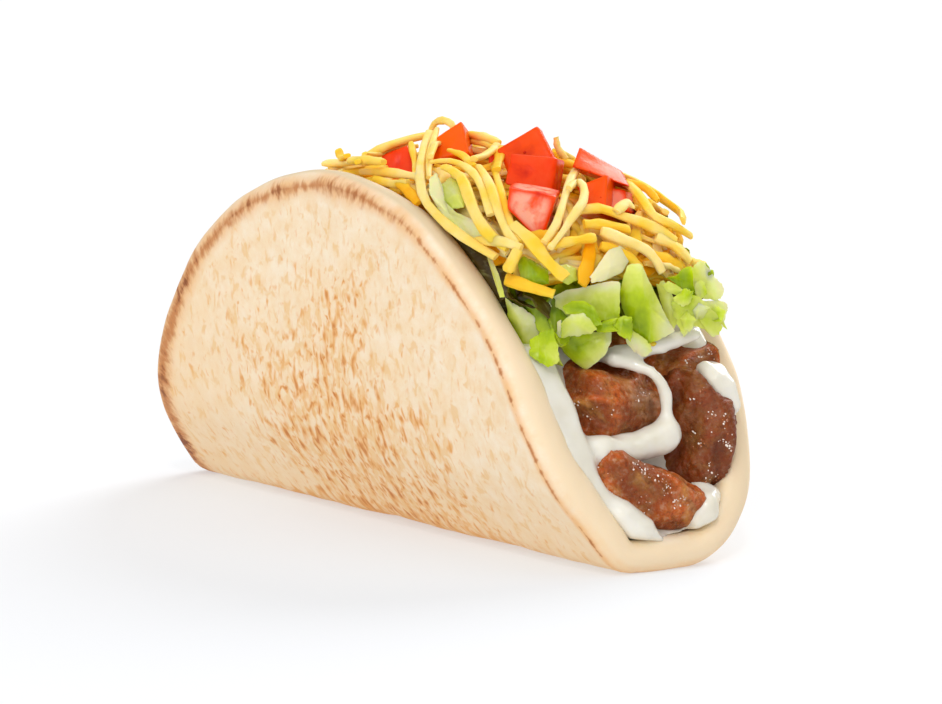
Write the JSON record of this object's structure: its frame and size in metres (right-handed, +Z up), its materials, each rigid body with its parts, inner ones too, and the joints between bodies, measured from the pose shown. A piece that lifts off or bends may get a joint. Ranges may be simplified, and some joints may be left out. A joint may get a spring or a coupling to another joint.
{
  "type": "steak taco",
  "caption": "Thick round flatbread folded round glazed steak strips, sour cream, lettuce, shredded cheese and diced tomato; a soft taco that stands on its fold.",
  "frame": {"origin": "middle of the flat under the fold, where the taco rests", "axes": "+X along the fold towards the mouth where most steak shows, +Y across the taco from the near flap to the far flap, +Z up"},
  "size_m": [0.15, 0.0541, 0.0785],
  "materials": {
    "bread": "soft matt pale flatbread with brown toasted streaks",
    "cream": "smooth wet white sour cream",
    "steak": "glossy dark red-brown glazed meat",
    "lettuce": "fresh light green leaf with a soft shine",
    "cheese": "yellow shreds with a slight shine",
    "tomato": "wet red tomato"
  },
  "bodies": {
    "root": {"flatbread": "bread", "sour_cream": "cream", "steak_front_upper": "steak", "steak_front_lower": "steak", "steak_front_far": "steak", "steak_front_top": "steak", "steak_front_small": "steak", "steak_back_upper": "steak", "steak_back_lower": "steak", "steak_back_near": "steak", "lettuce": "lettuce", "cheese": "cheese", "tomato_1": "tomato", "tomato_2": "tomato", "tomato_3": "tomato", "tomato_4": "tomato", "tomato_5": "tomato", "tomato_6": "tomato", "tomato_7": "tomato", "tomato_8": "tomato", "tomato_9": "tomato", "tomato_10": "tomato"}
  },
  "joints": []
}
